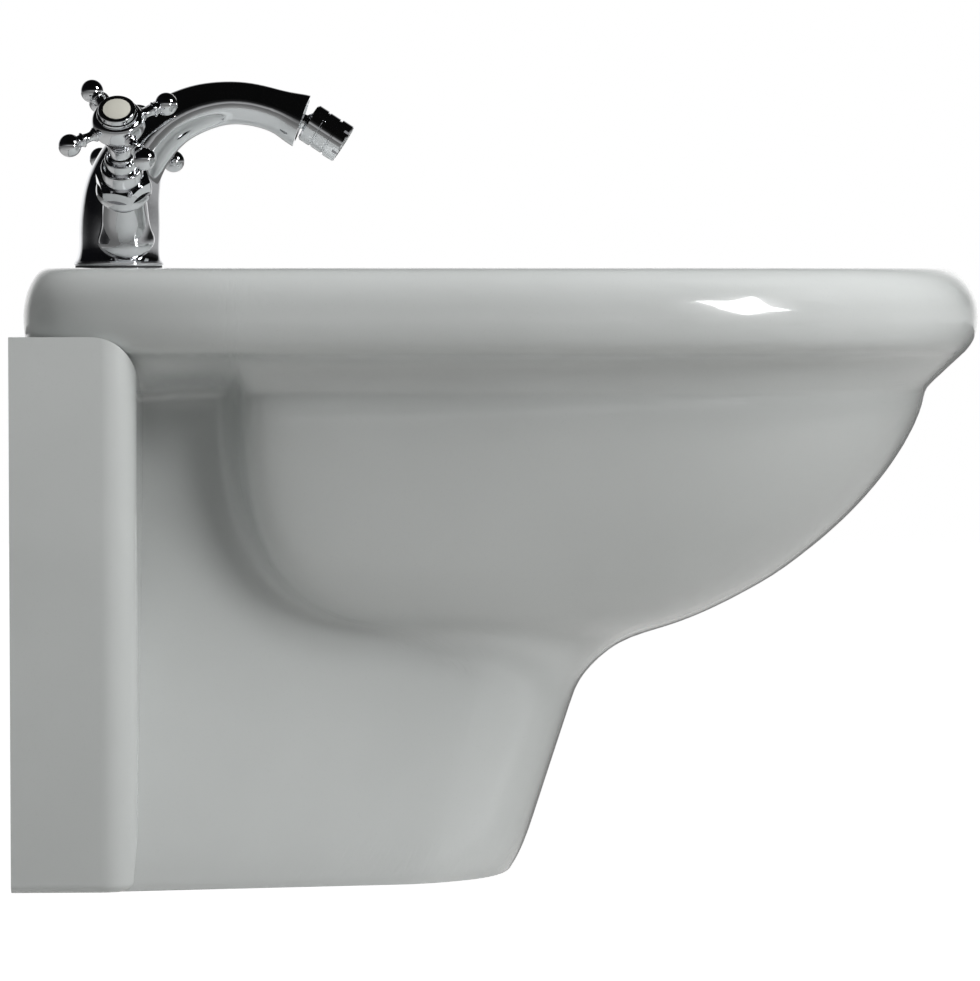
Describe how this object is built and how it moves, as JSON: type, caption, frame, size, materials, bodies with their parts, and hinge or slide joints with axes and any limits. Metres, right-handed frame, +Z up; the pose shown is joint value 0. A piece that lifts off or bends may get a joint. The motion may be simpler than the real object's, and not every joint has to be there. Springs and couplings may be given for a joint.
{
  "type": "wall-hung bidet",
  "caption": "Wall-hung glazed china bidet with an overhanging rounded rim, a flange on the wall, a chrome cross-handle mixer tap with a swivel aerator, and a push-down waste.",
  "frame": {"origin": "on the wall plane, midway between the two wall studs", "axes": "+X out of the wall towards the front, +Y to the left, +Z up"},
  "size_m": [0.5196, 0.3798, 0.4305],
  "materials": {
    "china": "glazed, glossy",
    "chrome": "mirror polished",
    "rubber": "matt",
    "steel": "zinc plated",
    "brass": "turned",
    "white_plastic": "moulded",
    "porcelain": "glazed",
    "valve_ceramic": "lapped"
  },
  "bodies": {
    "bidet": {"china_body": "china", "tap_body": "chrome", "waste_body": "chrome", "overflow_ring": "chrome", "swivel_ball": "chrome", "hot_bonnet": "chrome", "cold_bonnet": "chrome", "tap_gasket": "rubber", "tap_rubber_washer": "rubber", "waste_upper_seal": "rubber", "waste_lower_seal": "rubber", "hot_bonnet_seal": "rubber", "cold_bonnet_seal": "rubber", "tap_stud": "steel", "tap_clamp_plate": "steel", "wall_washers": "steel", "wall_nuts": "steel", "tap_nut": "brass", "plug_cartridge": "brass", "waste_nut": "brass", "wall_sleeves": "white_plastic", "hot_fixed_disc": "valve_ceramic", "cold_fixed_disc": "valve_ceramic"},
    "hot_handle_set": {"hot_handle": "chrome", "hot_spindle": "brass", "hot_turning_disc": "valve_ceramic", "hot_handle_screw": "steel", "hot_cap_ring": "chrome", "hot_index_disc": "porcelain"},
    "cold_handle_set": {"cold_handle": "chrome", "cold_spindle": "brass", "cold_turning_disc": "valve_ceramic", "cold_handle_screw": "steel", "cold_cap_ring": "chrome", "cold_index_disc": "porcelain"},
    "aerator_seat": {"swivel_seat": "white_plastic"},
    "aerator": {"aerator_housing": "chrome", "aerator_gasket": "rubber", "aerator_insert": "white_plastic"},
    "plug": {"waste_plug": "chrome", "plug_seal": "rubber"}
  },
  "joints": [
    {"name": "hot_turn", "type": "hinge", "parent": "bidet", "child": "hot_handle_set", "pos_m": [0.0478, 0, 0.102], "axis": [0, -0.7431, 0.6691], "range_deg": [0, 90]},
    {"name": "cold_turn", "type": "hinge", "parent": "bidet", "child": "cold_handle_set", "pos_m": [0.0478, 0, 0.102], "axis": [0, 0.7431, 0.6691], "range_deg": [-90, 0]},
    {"name": "aerator_swing", "type": "hinge", "parent": "bidet", "child": "aerator_seat", "pos_m": [0.15233, 0, 0.16413], "axis": [0.5446, 0, 0.8387], "range_deg": [-12, 12]},
    {"name": "aerator_tilt", "type": "hinge", "parent": "aerator_seat", "child": "aerator", "pos_m": [0.15233, 0, 0.16413], "axis": [0, -1, 0], "range_deg": [0, 20]},
    {"name": "plug_push", "type": "slide", "parent": "bidet", "child": "plug", "axis": [0, 0, 1], "range_m": [0, 0.008]}
  ]
}
